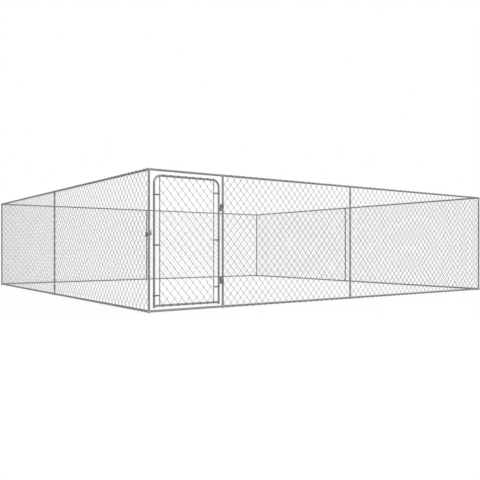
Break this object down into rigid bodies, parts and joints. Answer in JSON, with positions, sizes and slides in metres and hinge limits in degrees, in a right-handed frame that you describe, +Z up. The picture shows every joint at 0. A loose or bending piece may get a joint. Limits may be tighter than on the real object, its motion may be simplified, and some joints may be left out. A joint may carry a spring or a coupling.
{
  "type": "dog kennel run",
  "caption": "Square roofless outdoor dog run of galvanised tube posts and rails with diamond-mesh walls and a hinged round-topped mesh door with a fork latch.",
  "frame": {"origin": "on the ground at the middle of the square pen", "axes": "+Z up; the door wall faces -Y; +X to the right of someone who faces the door from outside"},
  "size_m": [7.9826, 7.9674, 2.005],
  "materials": {
    "galvanised_tube": "hot-dip galvanised, satin grey",
    "mesh_wire": "galvanised wire, satin",
    "fitting": "galvanised casting, satin",
    "zinc_hardware": "dull zinc plate",
    "bright_fastener": "bright zinc plate"
  },
  "bodies": {
    "frame": {"post_front_left": "galvanised_tube", "post_door": "galvanised_tube", "post_front_mid": "galvanised_tube", "post_front_right": "galvanised_tube", "post_right_mid": "galvanised_tube", "post_back_right": "galvanised_tube", "post_back_mid": "galvanised_tube", "post_back_left": "galvanised_tube", "post_left_mid": "galvanised_tube", "top_rail_doorway": "galvanised_tube", "top_rail_front_left": "galvanised_tube", "top_rail_front_right": "galvanised_tube", "top_rail_right_front": "galvanised_tube", "top_rail_right_back": "galvanised_tube", "top_rail_back_right": "galvanised_tube", "top_rail_back_left": "galvanised_tube", "top_rail_left_back": "galvanised_tube", "top_rail_left_front": "galvanised_tube", "bottom_rail_doorway": "galvanised_tube", "bottom_rail_front_left": "galvanised_tube", "bottom_rail_front_right": "galvanised_tube", "bottom_rail_right_front": "galvanised_tube", "bottom_rail_right_back": "galvanised_tube", "bottom_rail_back_right": "galvanised_tube", "bottom_rail_back_left": "galvanised_tube", "bottom_rail_left_back": "galvanised_tube", "bottom_rail_left_front": "galvanised_tube", "net_front_left": "mesh_wire", "net_front_right": "mesh_wire", "net_right_front": "mesh_wire", "net_right_back": "mesh_wire", "net_back_right": "mesh_wire", "net_back_left": "mesh_wire", "net_left_back": "mesh_wire", "net_left_front": "mesh_wire", "top_corners": "fitting", "top_tees": "fitting", "bottom_corners": "fitting", "bottom_tees": "fitting", "rail_screws": "bright_fastener", "post_screws": "bright_fastener", "hinge_clamp_upper": "zinc_hardware", "hinge_clamp_lower": "zinc_hardware", "latch_clamp": "zinc_hardware", "hinge_bolts": "bright_fastener", "latch_bolt": "bright_fastener", "latch_pivot": "bright_fastener"},
    "door": {"door_frame": "galvanised_tube", "door_bottom_rail": "galvanised_tube", "door_net": "mesh_wire", "tension_bar_latch": "zinc_hardware", "tension_bar_hinge": "zinc_hardware", "tension_bands": "zinc_hardware", "hinge_eye_upper": "zinc_hardware", "hinge_eye_lower": "zinc_hardware", "band_bolts": "bright_fastener"},
    "fork": {"latch_fork": "zinc_hardware"}
  },
  "joints": [
    {"name": "door_swing", "type": "hinge", "parent": "frame", "child": "door", "pos_m": [-2.766, -3.96, 0], "axis": [0, 0, 1], "range_deg": [-90, 90]},
    {"name": "fork_turn", "type": "hinge", "parent": "frame", "child": "fork", "pos_m": [-3.932, -3.96, 1.085], "axis": [0, 1, 0], "range_deg": [0, 98]}
  ]
}
